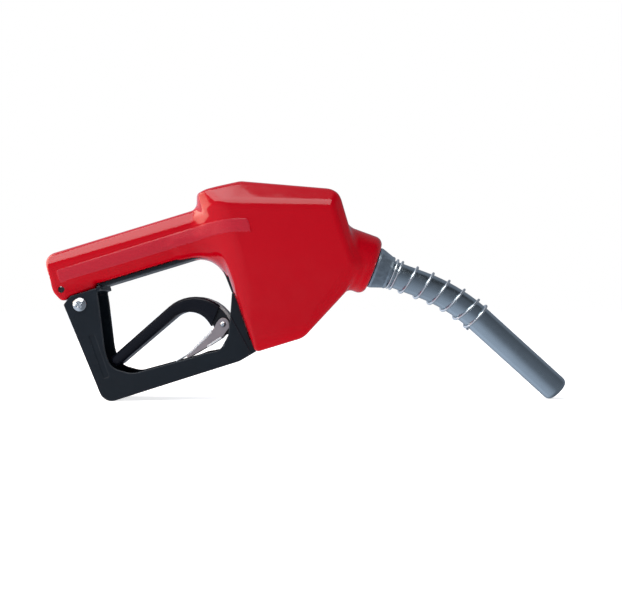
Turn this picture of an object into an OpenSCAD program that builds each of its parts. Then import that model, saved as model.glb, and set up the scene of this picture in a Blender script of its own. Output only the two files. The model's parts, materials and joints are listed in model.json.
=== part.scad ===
// Automatic shut-off fuel nozzle with a hold-open latch, millimetres, +Z up.
// It stands on its hand guard's rear corner and its spout tip.
// Most modules work in the handle's own frame: x runs forward along the handle,
// y goes across the nozzle, z is square to the handle, and the origin is the
// centre of the inlet face. in_hand() puts that frame where the nozzle stands.

/* [Stance] */
// Angle of the handle above level, degrees
handle_pitch = 17; // [16:0.5:18]
// Inlet face centre, distance behind the middle of the nozzle
inlet_back = 189.2; // [183:0.1:199]
// Inlet face centre, height above the surface it stands on
inlet_height = 96.6; // [94:0.1:100]

/* [Body and cover] */
// Half of the cover's width at the hump
cover_half_w = 31; // [29:0.5:32]
// Half of the cover's width at the handle
grip_half_w = 17.5; // [17:0.1:18.5]
// Thickness of the vinyl cover
cover_wall = 2.5; // [2.2:0.1:2.6]
// Radius of the threaded inlet, 3/4 inch pipe thread
inlet_r = 11.7; // [11:0.1:12]
// Depth of the inlet thread
inlet_depth = 20; // [16:1:22]
// Position of the main valve along the handle
valve_x = 137; // [136:0.5:138]

/* [Spout] */
// Outer radius of the spout, 13/16 inch tube
spout_r = 10.3; // [9:0.1:10.35]
// Wall of the spout tube
spout_wall = 1.5; // [1.2:0.1:1.8]
// Downward angle of the outlet below the handle, degrees
outlet_angle = 37; // [36:0.5:38]
// Angle that the spout bends through, degrees
bend_angle = 22.2; // [20:0.1:24]
// Radius of the spout's bend, to its centre line
bend_r = 140; // [120:5:160]
// Straight length between the outlet face and the bend
lead_in = 38.5; // [36:0.5:40]
// Straight length between the bend and the tip
spout_end = 83; // [80:0.5:90]
// Radius of the wire of the spout spring
spring_wire_r = 1; // [0.8:0.1:1.1]
// Number of turns of the spout spring
spring_turns = 8; // [7:1:9]

/* [Guard and lever] */
// Half of the hand guard's width
guard_half_w = 15; // [14.5:0.1:15.2]
// Thickness of the guard's walls
guard_wall = 2.5; // [2:0.1:2.6]
// Half of the lever's width
lever_half_w = 8; // [7.5:0.1:8.1]
// Half of the lever sleeve's width
sleeve_half_w = 11; // [10.5:0.1:11.2]

/* [Hidden] */
$fn = 64;

big = 400;                       // longer than anything that is cut
outlet = [231.6, -64.8];         // centre of the outlet face, x and z
pivot = [152, -84];              // lever pin at rest, x and z
rivet = [107.5, -73];            // latch rivet at rest, x and z
screw_at = [8.7, -27];           // guard screw, x and z
guard_pin_at = [130.5, -95.6];   // front guard pin, x and z
trip_tilt = 22.4;                // tilt of the trip plunger from square to the handle
tube_z = 1.3;                    // centre of the handle's fuel passage
seat_z = -9;                     // top of the main valve's seat
spring_coil_r = spout_r + spring_wire_r + 0.15;
bend_lap = 1;                    // the spout's straight lengths run this far into its bend
bend_swell = 0.05;               // and the bend is this much fatter, so that they join

cover_red = "crimson";
guard_black = [0.12, 0.14, 0.16];
cast_metal = [0.62, 0.63, 0.65];
bright_steel = [0.78, 0.79, 0.8];
spout_metal = [0.5, 0.56, 0.6];
rubber_black = [0.1, 0.1, 0.1];
brass_yellow = [0.78, 0.62, 0.3];

// Side outlines: [x, z, corner radius], counter-clockwise.
// The hump and the lower body of the cover
hump_outline = [
    [110.4, -9, 1], [121.6, -30, 4], [123, -60, 20], [125.4, -100.6, 4], [163.5, -100.6, 14],
    [204, -77, 8], [220.6, -61.3, 6], [221.4, -1.2, 13], [152.5, 27.2, 12], [117.2, 28.8, 4],
    [110.4, 12, 1]
];
// The cover's handle
grip_outline = [
    [-7.2, 19, 7], [-7.2, -14.8, 10], [-3, -22.1, 3], [2.6, -18.5, 1], [22, -18.5, 1],
    [24, -15, 1], [125, -15, 0.5], [125, 19, 0.5]
];
// Curve from the underside of the handle into the back of the lower body
throat_outline = [
    [92, -14.8, 0.5], [121.4, -14.8, 24], [122.9, -62, 0.5], [140, -62, 0.5], [140, -4, 0.5],
    [92, -4, 0.5]
];
// Outer outline of the guard's side walls
guard_outline = [
    [-3.4, -23.4, 1], [3.6, -98, 9], [8, -104.6, 9], [112, -103.6, 8], [126.2, -100.2, 0.5],
    [126.2, -97.8, 0.5], [134, -97.8, 1], [134, -90.5, 1], [123.8, -90.5, 1], [123, -48, 1],
    [116, -66, 10], [109.5, -82, 6], [100, -91.4, 9], [87, -89.9, 6], [80, -90.4, 6], [31, -88.8, 14],
    [17.4, -80, 12], [15.8, -68, 40], [22.5, -30, 30], [24, -18.8, 1], [3.2, -18.8, 1]
];
// Outer outline of the lever's rubber sleeve
sleeve_outline = [
    [15.5, -73.2, 4.2], [18.9, -81.1, 4.2], [91.6, -49.2, 17.4], [98.6, -74, 0.5],
    [115.5, -74, 0.5], [103.5, -33.4, 30.6]
];
// Steel core of the lever, without its eyes
lever_outline = [
    [21, -73.3, 1], [22.9, -77.6, 1], [93, -46.2, 19.6], [101, -73.5, 1], [105.5, -81, 2],
    [152, -89.3, 1], [152, -78.7, 1], [130, -75, 6], [114.6, -69, 3], [102.1, -36.5, 28.4]
];

function unit(a) = a / norm(a);
function flat(p) = [p.x, p.y];
function before(p, i) = flat(p[(i + len(p) - 1) % len(p)]);
function after(p, i) = flat(p[(i + 1) % len(p)]);
function turns_left(p, i) = cross(flat(p[i]) - before(p, i), after(p, i) - flat(p[i])) > 0;

// Points of the arc that rounds corner b, between neighbours a and c, with radius r
function corner(a, b, c, r) =
    let (
        back = unit(a - b), on = unit(c - b), half = acos(back * on) / 2,
        centre = b + unit(back + on) * r / sin(half),
        from = b + back * r / tan(half) - centre,
        swing = sign(cross(back, on)) * (2 * half - 180),
        steps = max(1, ceil(abs(swing) / 12))
    )
    [for (i = [0:steps]) let (a = swing * i / steps)
        centre + [from.x * cos(a) - from.y * sin(a), from.x * sin(a) + from.y * cos(a)]];

// Outline with its corners rounded
function rounded(p) =
    [for (i = [0:len(p) - 1]) each corner(before(p, i), flat(p[i]), after(p, i), p[i].z)];

// Counter-clockwise outline moved inwards by t
function inset(p, t) =
    [for (i = [0:len(p) - 1])
        let (
            in_dir = unit(flat(p[i]) - before(p, i)), out_dir = unit(after(p, i) - flat(p[i])),
            n1 = [-in_dir.y, in_dir.x], n2 = [-out_dir.y, out_dir.x],
            moved = flat(p[i]) + t * (n1 + n2) / (1 + n1 * n2),
            r = turns_left(p, i) ? max(p[i].z - t, 0.3) : p[i].z + t
        )
        [moved.x, moved.y, r]];

// One ring of a swept wire: n points of radius r round point c, square to direction d
function ring(c, d, r, n) =
    let (side = unit(cross(d, [0.31, 0.83, 0.46])), up = cross(unit(d), side))
    [for (k = [0:n - 1]) c + r * (cos(k * 360 / n) * side + sin(k * 360 / n) * up)];

// Puts the handle's frame where the nozzle stands
module in_hand() {
    translate([-inlet_back, 0, inlet_height])
        rotate([0, -handle_pitch, 0])
            children();
}

// z runs out along the outlet, from the centre of its face
module at_outlet() {
    translate([outlet.x, 0, outlet.y])
        rotate([0, 90 + outlet_angle, 0])
            children();
}

// z runs up along the trip plunger, from the lever pin
module at_plunger() {
    translate([pivot.x, 0, pivot.y])
        rotate([0, trip_tilt, 0])
            children();
}

// z runs along +y from the point p, given as x and z
module across(p) {
    translate([p.x, 0, p.y])
        rotate([-90, 0, 0])
            children();
}

// Side outline drawn out from y = from_y to y = to_y
module slab(points, from_y, to_y) {
    translate([0, to_y, 0])
        rotate([90, 0, 0])
            linear_extrude(to_y - from_y)
                polygon(points);
}

// The same outline on both sides, from half width w1 to half width w2
module pair(points, w1, w2) {
    slab(points, w1, w2);
    slab(points, -w2, -w1);
}

// Everything on the far side of a plane through p with normal n
module beyond(p, n) {
    translate(p)
        rotate([0, acos(n.z / norm(n)), atan2(n.y, n.x)])
            translate([-big / 2, -big / 2, 0])
                cube([big, big, big / 2]);
}

// Both sides beyond a plane through p with normal n, moved inwards by t, and its mirror
module trim_sides(p, n, t = 0) {
    for (side = [0, 1])
        mirror([0, side, 0])
            beyond(p - t * unit(n), n);
}

module tube(r1, r2, h) {
    difference() {
        cylinder(r = r1, h = h);
        translate([0, 0, -1])
            cylinder(r = r2, h = h + 2);
    }
}

module o_ring(r, wire) {
    rotate_extrude()
        translate([r, 0])
            circle(r = wire, $fn = 24);
}

// Round wire wound into a compression spring of n turns, standing on z = 0
module coil_spring(r, wire, h, n, sides = 8, per_turn = 16) {
    rings = n * per_turn;
    rise = (h - 2 * wire) / rings;
    function at(i) = [r * cos(i * 360 / per_turn), r * sin(i * 360 / per_turn), wire + rise * i];
    points = [for (i = [0:rings]) each ring(at(i), at(i + 0.5) - at(i - 0.5), wire, sides)];
    sweep(points, sides, rings);
}

// Skin over rings of points, closed at both ends
module sweep(points, sides, rings) {
    polyhedron(points, [
        [for (k = [0:sides - 1]) k],
        for (i = [0:rings - 1]) for (k = [0:sides - 1])
            let (a = i * sides + k, b = i * sides + (k + 1) % sides)
            each [[a, b + sides, b], [a, a + sides, b + sides]],
        [for (k = [sides - 1:-1:0]) rings * sides + k]
    ]);
}

// ---- Cover ----

// Handle section, half width and heights, moved inwards by t
module grip_section(t) {
    w = grip_half_w - t;
    rotate([90, 0, 90])
        translate([0, 0, -20])
            linear_extrude(141)
                polygon([
                    [-9 + t / 3, 17.8 - t], [-w, 8 - t / 3], [-w, -5 + t / 3], [-11 + t / 3, -15 + t],
                    [-11 + t / 3, -30], [11 - t / 3, -30], [11 - t / 3, -15 + t], [w, -5 + t / 3],
                    [w, 8 - t / 3], [9 - t / 3, 17.8 - t]
                ]);
}

// Solid shape of the cover, moved inwards by t
module cover_shape(t) {
    difference() {
        intersection() {
            slab(rounded(inset(grip_outline, t)), -grip_half_w - 1, grip_half_w + 1);
            grip_section(t);
        }
        // Bevels at the handle's rear end
        trim_sides([-7.2, grip_half_w - 2.5, 0], [-1, 1, 0], t);
    }
    slab(rounded(inset(throat_outline, t)), -15.5 + t, 15.5 - t);
    difference() {
        slab(rounded(inset(hump_outline, t)), -cover_half_w + t, cover_half_w - t);
        // Bevels along the flat top and along the slope in front of it
        trim_sides([140, 20, 28.9], [0, 1, 0.8], t);
        trim_sides([185, 19.2, 14.1], [0.217, 1, 0.689], t);
        // Bevels at the back of the hump and at its front
        trim_sides([115.4, 17, 10], [-1, 0.9, 0], t);
        trim_sides([223.2, 20, -20], [1, 0.9, 0], t);
        // The lower body narrows towards its bottom edge and its front
        trim_sides([150, cover_half_w, -46], [0, 58, -8], t);
        trim_sides([163, 19, -100.6], [0, 1, -0.74], t);
        trim_sides([204, 20, -77], [0.5, 1, -0.8], t);
    }
    at_outlet()
        translate([0, 0, -32])
            cylinder(r = 23 - t * 2.1, h = 32 - t * 0.01);
}

module cover() {
    color(cover_red)
        in_hand()
            difference() {
                cover_shape(0);
                cover_shape(cover_wall);
                // Rounded lip at the outlet
                at_outlet()
                    rotate_extrude()
                        difference() {
                            translate([18, -5])
                                square([8, 8]);
                            translate([18, -5])
                                circle(r = 5);
                        }
                at_outlet()
                    translate([0, 0, -20])
                        cylinder(r = 17.8, h = 40);
                // Open inlet end
                translate([-20, 0, 0])
                    rotate([0, 90, 0])
                        cylinder(r = 15.6, h = 50);
                // Window for the casting's lug
                translate([0.5, -9.4, -30])
                    cube([16.5, 18.8, 25]);
                // Opening at the back for the guard and the lever
                slab([[110, -39], [110, -110], [126.4, -110], [126.4, -98], [129.5, -98], [129.5, -39]],
                     -15.4, 15.4);
                // Hole through the rear overhang
                across([-1.2, -12.1])
                    translate([0, 0, -big / 2])
                        cylinder(r = 2.3, h = big);
            }
}

// ---- Body casting ----

module body_casting() {
    passage_outer = [
        [137, -11, 1], [137, -36, 1], [149, -36, 4], [180, -51, 6], [205, -60, 4], [214, -40, 6],
        [188, -20, 10]
    ];
    passage_inner = [
        [137, -15, 1], [137, -31, 1], [180, -46, 4], [190, -48, 3], [200, -32, 3], [186, -23, 6]
    ];
    skirt = [[128, -37, 1], [128, -97.8, 1], [158, -97.8, 4], [194, -76, 6], [202, -56, 4], [200, -37, 1]];
    color(cast_metal)
        in_hand()
            difference() {
                union() {
                    difference() {
                        union() {
                            rotate([0, 90, 0])
                                cylinder(r = 15.4, h = 21);
                            translate([0, 0, tube_z])
                                rotate([0, 90, 0])
                                    cylinder(r = 13.1, h = 128);
                            translate([valve_x, 0, -13.5])
                                cylinder(r = 17, h = 33.5);
                            translate([valve_x, 0, -38])
                                cylinder(r = 12.2, h = 30);
                            slab(rounded(passage_outer), -17.6, 17.6);
                            at_outlet()
                                translate([0, 0, -46])
                                    cylinder(r = 17.5, h = 45.5);
                            pair(rounded(skirt), 15.6, 17.6);
                            // Lug for the guard screw
                            slab(rounded([[2, -10, 1], [2, -34, 6], [15.5, -34, 6], [15.5, -10, 1]]), -9, 9);
                            at_plunger()
                                translate([0, 0, 80])
                                    cylinder(r = 21.5, h = 9.6);
                        }
                        // Fuel passages
                        translate([-1, 0, 0])
                            rotate([0, 90, 0])
                                cylinder(r = inlet_r, h = inlet_depth + 1);
                        translate([inlet_depth - 2, 0, tube_z])
                            rotate([0, 90, 0])
                                cylinder(r = 9, h = valve_x - inlet_depth);
                        translate([valve_x, 0, seat_z])
                            cylinder(r = 14, h = 40);
                        translate([valve_x, 0, -20])
                            cylinder(r = 8.5, h = 20);
                        translate([valve_x, 0, -32])
                            cylinder(r = 9.8, h = 19);
                        slab(rounded(passage_inner), -15, 15);
                        at_outlet()
                            translate([0, 0, -35])
                                cylinder(r = 14, h = 40);
                        at_outlet()
                            translate([0, 0, -50])
                                cylinder(r = 11, h = 30);
                        // Space under the diaphragm
                        at_plunger()
                            translate([0, 0, 86])
                                cylinder(r = 16, h = 10);
                    }
                    // Plunger guide, which crosses the fuel passage
                    at_plunger()
                        translate([0, 0, 26])
                            cylinder(r = 10, h = 58);
                }
                // Bores of the plunger guide
                at_plunger() {
                    translate([0, 0, 10])
                        cylinder(r = 5.05, h = 60);
                    translate([0, 0, 32])
                        cylinder(r = 6.55, h = 60);
                    translate([0, 0, 64])
                        cylinder(r = 8.2, h = 16);
                    for (a = [45:90:315])
                        rotate([0, 0, a])
                            translate([18.9, 0, 83.5])
                                cylinder(r = 1.65, h = 10);
                }
                // Gland bore, guard screw and guard pin
                translate([valve_x, 0, -45])
                    cylinder(r = 6, h = 20);
                across(screw_at)
                    translate([0, 0, -20])
                        cylinder(r = 3.2, h = 40);
                across(guard_pin_at)
                    translate([0, 0, -30])
                        cylinder(r = 1.55, h = 60);
                // Lock screw for the spout bushing
                at_outlet()
                    translate([0, 0, -7])
                        rotate([0, 90, 0])
                            cylinder(r = 2.05, h = 30);
            }
}

// ---- Hand guard ----

module hand_guard() {
    // The outer wall follows the back and the bottom of the side walls
    hollow = [
        [-0.6, -19.8, 1], [6.4, -97.5, 6.5], [10, -102.1, 6.5], [112, -101.1, 6], [126, -97.6, 1],
        [126, -40, 1], [40, -10, 1], [-1, -10, 1]
    ];
    top_arm = [
        [25, -18.5, 0.3], [118.2, -18.5, 20.6], [119.7, -40, 0.2], [121.8, -40, 0.2],
        [121, -15.3, 23.6], [25, -15.3, 0.3]
    ];
    gusset = [
        [17.5, -18.9], [19.5, -21.3], [27, -21.3], [27, -17.5], [24.8, -17.5], [24.2, -18.9]
    ];
    color(guard_black)
        in_hand()
            difference() {
                union() {
                    pair(rounded(guard_outline), guard_half_w - guard_wall, guard_half_w);
                    difference() {
                        slab(rounded(guard_outline), -guard_half_w + 0.5, guard_half_w - 0.5);
                        slab(rounded(hollow), -big, big);
                        slab([[124, -80], [124, -110], [140, -110], [140, -80]], -big, big);
                    }
                    slab(rounded(top_arm), -9, 9);
                    // Gusset between the side walls at the top of the back
                    slab(gusset, -guard_half_w + 0.5, guard_half_w - 0.5);
                }
                across(screw_at)
                    translate([0, 0, -30])
                        cylinder(r = 3.1, h = 60);
                across(guard_pin_at)
                    translate([0, 0, -30])
                        cylinder(r = 1.55, h = 60);
                // Shallow panels in the side walls
                for (side = [-1, 1])
                    slab(rounded([[8, -52, 1], [9.5, -86, 1], [14, -86, 1], [12.5, -52, 1]]),
                         side * guard_half_w - 0.4, side * guard_half_w + 0.4);
            }
}

module guard_screw() {
    color(bright_steel)
        in_hand()
            difference() {
                across(screw_at)
                    union() {
                        translate([0, 0, -guard_half_w - 1.2])
                            cylinder(r = 5.2, h = 1.2);
                        translate([0, 0, -guard_half_w - 3.2])
                            cylinder(r1 = 3.6, r2 = 5.2, h = 2);
                        translate([0, 0, -guard_half_w])
                            cylinder(r = 3, h = 2 * guard_half_w + 4.6);
                    }
                for (a = [20, 110])
                    translate([screw_at.x, -guard_half_w - 3.2, screw_at.y])
                        rotate([0, a, 0])
                            cube([4.6, 3, 1], center = true);
            }
}

module guard_nut() {
    color(bright_steel)
        in_hand()
            across(screw_at)
                translate([0, 0, guard_half_w])
                    difference() {
                        cylinder(r = 5.6, h = 4.4, $fn = 6);
                        translate([0, 0, -1])
                            cylinder(r = 3, h = 7);
                    }
}

module guard_pin() {
    color(bright_steel)
        in_hand()
            across(guard_pin_at)
                translate([0, 0, -17.4])
                    cylinder(r = 1.5, h = 34.8);
}

// ---- Main valve ----

module poppet_cap() {
    color(brass_yellow)
        in_hand()
            translate([valve_x, 0, 0])
                difference() {
                    union() {
                        translate([0, 0, 12])
                            cylinder(r = 13.95, h = 8.1);
                        translate([0, 0, 21.2])
                            cylinder(r = 14.6, h = 2);
                        translate([0, 0, 20])
                            cylinder(r = 12.6, h = 3);
                        translate([0, 0, 23.2])
                            cylinder(r = 11, h = 1.4, $fn = 6);
                    }
                    translate([0, 0, 11])
                        cylinder(r = 9.6, h = 6);
                    translate([0, 0, 11])
                        cylinder(r = 3.6, h = 11);
                }
}

module poppet_cap_seal() {
    color(rubber_black)
        in_hand()
            translate([valve_x, 0, 20.65])
                o_ring(13.8, 0.54);
}

module main_poppet() {
    color(bright_steel)
        in_hand()
            translate([valve_x, 0, 0])
                union() {
                    translate([0, 0, seat_z + 2])
                        cylinder(r = 12, h = 2.4);
                    translate([0, 0, seat_z + 4.4])
                        cylinder(r = 6, h = 3);
                    translate([0, 0, seat_z + 7.4])
                        cylinder(r = 3.4, h = 13);
                }
}

module poppet_disc() {
    color(rubber_black)
        in_hand()
            translate([valve_x, 0, seat_z])
                tube(11.6, 3.05, 2);
}

module valve_stem() {
    color(bright_steel)
        in_hand()
            translate([valve_x, 0, 0])
                union() {
                    translate([0, 0, pivot.y + 7.3])
                        cylinder(r = 3, h = -pivot.y - 7.3 + seat_z + 2);
                    translate([0, 0, pivot.y + 4.5])
                        cylinder(r1 = 1.2, r2 = 3, h = 2.8);
                }
}

module poppet_spring() {
    color(bright_steel)
        in_hand()
            translate([valve_x, 0, seat_z + 4.5])
                coil_spring(7.6, 0.8, 21.3, 6);
}

module stem_gland() {
    color(brass_yellow)
        in_hand()
            translate([valve_x, 0, 0])
                difference() {
                    union() {
                        translate([0, 0, -40])
                            cylinder(r = 5.95, h = 8);
                        translate([0, 0, -44.5])
                            cylinder(r = 8, h = 6.4, $fn = 6);
                    }
                    translate([0, 0, -50])
                        cylinder(r = 3.05, h = 20);
                    translate([0, 0, -37])
                        cylinder(r = 4.8, h = 10);
                }
}

module stem_seal() {
    color(rubber_black)
        in_hand()
            translate([valve_x, 0, -37])
                tube(4.75, 3.08, 4.5);
}

// ---- Trip mechanism ----

module trip_plunger() {
    color(bright_steel)
        in_hand()
            difference() {
                union() {
                    across(pivot)
                        translate([0, 0, -4.2])
                            cylinder(r = 5, h = 8.4);
                    at_plunger()
                        cylinder(r = 4.2, h = 20);
                    at_plunger()
                        translate([0, 0, 16])
                            cylinder(r = 5, h = 34);
                    at_plunger()
                        translate([0, 0, 50])
                            cylinder(r = 6.5, h = 28);
                }
                across(pivot)
                    translate([0, 0, -10])
                        cylinder(r = 2.55, h = 20);
                at_plunger() {
                    translate([0, 0, 62])
                        cylinder(r = 2.6, h = 30);
                    for (a = [0:120:240])
                        rotate([0, 0, a])
                            translate([0, 0, 72])
                                rotate([0, 90, 0])
                                    cylinder(r = 2.1, h = 12);
                }
            }
}

module plunger_spring() {
    color(bright_steel)
        in_hand()
            at_plunger()
                translate([0, 0, 32.2])
                    coil_spring(5.75, 0.45, 17.6, 8, 6, 14);
}

module latch_balls() {
    color(bright_steel)
        in_hand()
            at_plunger()
                for (a = [0:120:240])
                    rotate([0, 0, a])
                        translate([4.7, 0, 72])
                            sphere(r = 2);
}

module latch_pin() {
    color(bright_steel)
        in_hand()
            at_plunger()
                translate([0, 0, 66])
                    cylinder(r = 2.55, h = 28.4);
}

module diaphragm_plate() {
    color(cast_metal)
        in_hand()
            at_plunger()
                translate([0, 0, 90.8])
                    difference() {
                        cylinder(r = 10, h = 1.5);
                        translate([0, 0, -1])
                            cylinder(r = 2.55, h = 4);
                    }
}

module diaphragm() {
    color(rubber_black)
        in_hand()
            at_plunger()
                translate([0, 0, 89.6])
                    difference() {
                        cylinder(r = 20.6, h = 1);
                        translate([0, 0, -1])
                            cylinder(r = 2.8, h = 4);
                        for (a = [45:90:315])
                            rotate([0, 0, a])
                                translate([18.9, 0, -1])
                                    cylinder(r = 1.7, h = 4);
                    }
}

module diaphragm_spring() {
    color(bright_steel)
        in_hand()
            at_plunger()
                translate([0, 0, 92.4])
                    coil_spring(6.2, 0.5, 5.2, 3, 6, 14);
}

module vacuum_cap() {
    color(cast_metal)
        in_hand()
            at_plunger()
                translate([0, 0, 90.6])
                    difference() {
                        union() {
                            cylinder(r = 21.5, h = 3.6);
                            translate([0, 0, 3.6])
                                cylinder(r1 = 15.5, r2 = 11, h = 5.2);
                        }
                        translate([0, 0, -1])
                            cylinder(r = 14, h = 4);
                        translate([0, 0, -1])
                            cylinder(r = 10.4, h = 6.5);
                        translate([0, 0, -1])
                            cylinder(r = 8, h = 8.1);
                        for (a = [45:90:315])
                            rotate([0, 0, a])
                                translate([18.9, 0, -1])
                                    cylinder(r = 1.7, h = 6);
                    }
}

module vacuum_cap_screws() {
    color(bright_steel)
        in_hand()
            at_plunger()
                for (a = [45:90:315])
                    rotate([0, 0, a])
                        translate([18.9, 0, 0])
                            union() {
                                translate([0, 0, 84])
                                    cylinder(r = 1.6, h = 10.4);
                                translate([0, 0, 94.2])
                                    cylinder(r = 2.5, h = 1.6);
                            }
}

// ---- Outlet and check valve ----

module check_seat() {
    color(brass_yellow)
        in_hand()
            at_outlet()
                translate([0, 0, -35])
                    tube(13.95, 8, 6);
}

module check_poppet() {
    color(brass_yellow)
        in_hand()
            at_outlet()
                union() {
                    translate([0, 0, -32])
                        cylinder(r1 = 3, r2 = 7.6, h = 3.1);
                    translate([0, 0, -28.9])
                        cylinder(r = 10, h = 3);
                    translate([0, 0, -26])
                        cylinder(r = 2.2, h = 18);
                }
}

module check_spring() {
    color(bright_steel)
        in_hand()
            at_outlet()
                translate([0, 0, -25.8])
                    coil_spring(4.6, 0.5, 13.6, 6, 6, 14);
}

module spout_bushing() {
    color(spout_metal)
        in_hand()
            at_outlet()
                difference() {
                    union() {
                        translate([0, 0, -12])
                            cylinder(r = 13.95, h = 12.2);
                        translate([0, 0, 0.2])
                            cylinder(r = 16, h = 1.8);
                        translate([0, 0, 2])
                            cylinder(r1 = 16, r2 = 12.9, h = 9.5);
                        translate([0, 0, 11.5])
                            cylinder(r = 12.9, h = 2);
                    }
                    // Seat for the spout tube
                    translate([0, 0, -6])
                        cylinder(r = spout_r + 0.05, h = 30);
                    // Hub and openings of the check valve's guide
                    translate([0, 0, -13])
                        cylinder(r = 2.3, h = 20);
                    for (a = [0:90:270])
                        rotate([0, 0, a + 45])
                            translate([6.4, 0, -13])
                                cylinder(r = 2.6, h = 20);
                    // Groove for the seal
                    translate([0, 0, -4.4])
                        tube(14.5, 12.7, 2.4);
                    // Socket for the lock screw
                    translate([0, 0, -7])
                        rotate([0, 90, 0])
                            translate([0, 0, 11.5])
                                cylinder(r = 2.05, h = 10);
                }
}

module bushing_seal() {
    color(rubber_black)
        in_hand()
            at_outlet()
                translate([0, 0, -3.2])
                    o_ring(13.3, 0.58);
}

module bushing_lock_screw() {
    color(bright_steel)
        in_hand()
            at_outlet()
                translate([0, 0, -7])
                    rotate([0, 90, 0])
                        translate([0, 0, 11.7])
                            difference() {
                                cylinder(r = 2, h = 5.6);
                                translate([0, 0, 3.6])
                                    cylinder(r = 1.1, h = 3, $fn = 6);
                            }
}

// ---- Spout ----

// Round bar of radius r that follows the spout, set off towards the inside of
// its bend, starting s1 after the outlet face and ending s2 after the bend
module spout_bar(r, off, s1, s2) {
    at_outlet()
        translate([off, 0, s1])
            cylinder(r = r, h = lead_in - s1 + bend_lap);
    at_outlet()
        translate([bend_r, 0, lead_in])
            rotate([90, 0, 0])
                rotate([0, 0, 180 - bend_angle])
                    rotate_extrude(angle = bend_angle, $fn = 96)
                        translate([bend_r - off, 0])
                            circle(r = r + bend_swell, $fn = 64);
    after_bend()
        translate([off, 0, -bend_lap])
            cylinder(r = r, h = s2 + bend_lap);
}

// z runs out along the spout from the end of its bend
module after_bend() {
    at_outlet()
        translate([bend_r, 0, lead_in])
            rotate([0, bend_angle, 0])
                translate([-bend_r, 0, 0])
                    children();
}

module spout_tube() {
    tip_round = 5;
    color(spout_metal)
        in_hand()
            difference() {
                union() {
                    spout_bar(spout_r, 0, -5.9, spout_end - tip_round);
                    after_bend()
                        translate([0, 0, spout_end - tip_round])
                            rotate_extrude() {
                                square([spout_r - tip_round, tip_round]);
                                intersection() {
                                    translate([spout_r - tip_round, 0])
                                        circle(r = tip_round);
                                    square([spout_r, tip_round]);
                                }
                            }
                }
                spout_bar(spout_r - spout_wall, 0, -10, spout_end + 5);
                // Sensing hole near the tip
                after_bend()
                    translate([0, 0, spout_end - 14])
                        rotate([0, 90, 0])
                            cylinder(r = 1.7, h = 20);
            }
}

// The spring's centre line: point at fraction s of its length along the spout
spring_start = 14.6;
spring_run = lead_in - spring_start + bend_r * PI * bend_angle / 180 - 2;
function spine(s) =
    let (d = spring_start + s * spring_run, bend = (d - lead_in) * 180 / (PI * bend_r))
    d < lead_in ? [[0, 0, d], 0] :
    bend < bend_angle ? [[bend_r * (1 - cos(bend)), 0, lead_in + bend_r * sin(bend)], bend] :
    let (on = d - lead_in - bend_r * PI * bend_angle / 180)
    [[bend_r * (1 - cos(bend_angle)) + on * sin(bend_angle), 0,
      lead_in + bend_r * sin(bend_angle) + on * cos(bend_angle)], bend_angle];
// The end turns are wound close: the wire advances little more than its width there
function advance(t) =
    let (far = spring_run - 2.9)
    lookup(t, [[0, 0], [1.4, 3.9], [spring_turns - 1.1, far], [spring_turns, spring_run]]) / spring_run;
function spring_at(t) =
    let (c = spine(advance(t)), a = -360 * t)
    c[0] + spring_coil_r * (cos(a) * [cos(c[1]), 0, -sin(c[1])] + sin(a) * [0, 1, 0]);

module spout_spring() {
    per_turn = 24;
    rings = spring_turns * per_turn;
    points = [for (i = [0:rings]) let (t = i / per_turn)
        each ring(spring_at(t), spring_at(t + 0.01) - spring_at(t - 0.01), spring_wire_r, 8)];
    color(bright_steel)
        in_hand()
            at_outlet()
                sweep(points, 8, rings);
}

module vent_tube() {
    color(cast_metal)
        in_hand()
            difference() {
                spout_bar(2.2, 5.6, 4, spout_end - 17);
                spout_bar(1.5, 5.6, 2, spout_end - 10);
            }
}

module vent_tip() {
    color(brass_yellow)
        in_hand()
            after_bend()
                difference() {
                    union() {
                        translate([5.6, 0, spout_end - 16.9])
                            cylinder(r = 2.2, h = 6);
                        translate([5.6, 0, spout_end - 14])
                            rotate([0, 90, 0])
                                cylinder(r = 1.6, h = 4.4);
                    }
                    translate([5.6, 0, spout_end - 20])
                        cylinder(r = 1.1, h = 7);
                    translate([5.6, 0, spout_end - 14])
                        rotate([0, 90, 0])
                            cylinder(r = 0.9, h = 6);
                }
}

// ---- Lever and latch ----

module lever() {
    pad_z = pivot.y + 4;
    fork = [[119, -50], [119, pad_z], [141, pad_z], [143, -100], [165, -100], [165, -50]];
    color(guard_black)
        in_hand()
            difference() {
                union() {
                    slab(rounded(lever_outline), -lever_half_w, lever_half_w);
                    across(rivet)
                        translate([0, 0, -lever_half_w])
                            cylinder(r = 7.6, h = 2 * lever_half_w);
                    across(pivot)
                        translate([0, 0, -lever_half_w])
                            cylinder(r = 5.3, h = 2 * lever_half_w);
                }
                // Fork for the stem and the plunger, above the pad that lifts the stem
                slab(fork, -4.6, 4.6);
                across(rivet)
                    translate([0, 0, -20])
                        cylinder(r = 2.05, h = 40);
                across(pivot)
                    translate([0, 0, -20])
                        cylinder(r = 2.55, h = 40);
            }
}

module lever_sleeve() {
    color(rubber_black)
        in_hand()
            difference() {
                slab(rounded(sleeve_outline), -sleeve_half_w, sleeve_half_w);
                slab(rounded(lever_outline), -lever_half_w - 0.05, lever_half_w + 0.05);
                // Cut square across the front of the arch
                slab([[97.5, -73], [109, -59.4], [125, -55], [125, -85], [97.5, -85]], -20, 20);
                // Rounded long edges
                trim_sides([0, sleeve_half_w - 1.5, -79.8], [-0.4, 1, 0.917]);
            }
}

module lever_pin() {
    color(bright_steel)
        in_hand()
            across(pivot)
                translate([0, 0, -8.6])
                    cylinder(r = 2.5, h = 17.2);
}

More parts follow.
